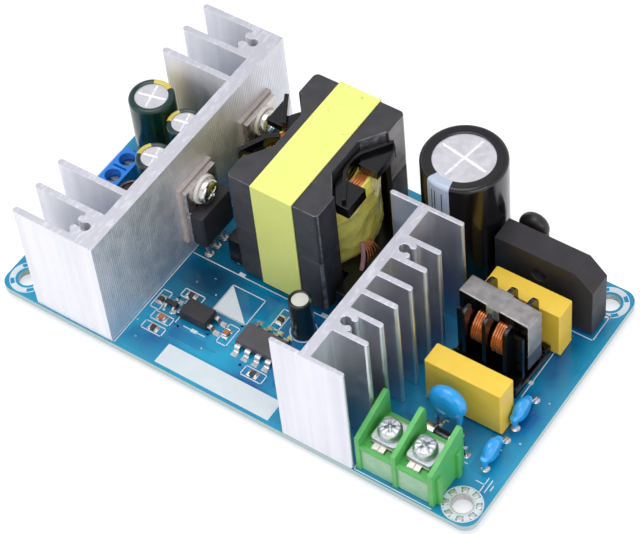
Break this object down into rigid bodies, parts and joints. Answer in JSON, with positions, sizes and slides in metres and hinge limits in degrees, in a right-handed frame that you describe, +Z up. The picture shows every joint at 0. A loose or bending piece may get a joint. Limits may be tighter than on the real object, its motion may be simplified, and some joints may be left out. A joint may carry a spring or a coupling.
{
  "type": "open frame power supply",
  "caption": "Open frame mains power supply: printed circuit board with two extruded heatsinks, transformer, filter parts and a screw terminal at each end.",
  "frame": {"origin": "centre of the part's footprint at the foot of its solder joints", "axes": "+X along the board from the low-voltage end to the mains end, +Y across the board from the mains terminal's edge, +Z up from the board"},
  "size_m": [0.117, 0.0668, 0.0362],
  "materials": {
    "laminate": "glossy blue solder mask",
    "tinned_copper": "bright tinned",
    "heatsink_aluminium": "mill finish, drawn lines",
    "pad_sheet": "smooth sheet",
    "moulding_black": "satin epoxy",
    "device_frame": "tin plated",
    "bush_nylon": "white nylon",
    "nickel_screw": "nickel plated",
    "ferrite": "ground ferrite",
    "bobbin_black": "black phenolic",
    "coil_tape": "wrapped yellow tape",
    "core_tape": "smooth yellow tape",
    "bulk_sleeve": "glossy black film",
    "green_sleeve": "glossy dark green film",
    "can_aluminium": "drawn can",
    "inductor_film": "shrunk film",
    "film_box": "yellow moulded box",
    "choke_ferrite": "grey ferrite",
    "copper_wire": "enamelled copper",
    "silver_tape": "foil tape",
    "rectifier_epoxy": "dark grey epoxy",
    "blue_dip": "glossy blue dip",
    "dark_dip": "dark dip",
    "fuse_tube": "dark tube",
    "fuse_metal": "nickel plated",
    "green_housing": "green moulding",
    "blue_housing": "blue moulding",
    "plated_steel": "tin plated"
  },
  "bodies": {
    "root": {"board": "laminate", "solder_joints": "tinned_copper", "output_heatsink": "heatsink_aluminium", "primary_heatsink": "heatsink_aluminium", "heatsink_pins": "tinned_copper", "insulating_pads": "pad_sheet", "device_bodies": "moulding_black", "device_frames": "device_frame", "insulating_bushes": "bush_nylon", "device_screws": "nickel_screw", "core_lower": "ferrite", "core_upper": "ferrite", "transformer_bobbin": "bobbin_black", "transformer_coil": "coil_tape", "transformer_tape": "core_tape", "transformer_pins": "tinned_copper", "bulk_capacitor_sleeve": "bulk_sleeve", "bulk_capacitor_can": "can_aluminium", "output_capacitor_sleeves": "green_sleeve", "output_capacitor_cans": "can_aluminium", "filter_inductor": "inductor_film", "supply_capacitor_sleeve": "green_sleeve", "supply_capacitor_can": "can_aluminium", "capacitor_leads": "tinned_copper", "film_capacitors": "film_box", "choke_core": "choke_ferrite", "choke_bobbin": "bobbin_black", "choke_coils": "copper_wire", "choke_tape": "silver_tape", "bridge_rectifier": "rectifier_epoxy", "varistor": "blue_dip", "safety_capacitors": "blue_dip", "thermistor": "dark_dip", "snubber_capacitor": "dark_dip", "disc_leads": "tinned_copper", "fuse_body": "fuse_tube", "fuse_caps": "fuse_metal", "input_housing": "green_housing", "input_plates": "plated_steel", "input_washers": "nickel_screw", "input_screws": "nickel_screw", "output_housing": "blue_housing", "output_cages": "plated_steel", "output_screws": "plated_steel", "controller": "moulding_black", "optocoupler": "moulding_black", "small_transistor": "moulding_black", "surface_leads": "tinned_copper", "chip_bodies": "moulding_black", "chip_ends": "tinned_copper"}
  },
  "joints": []
}
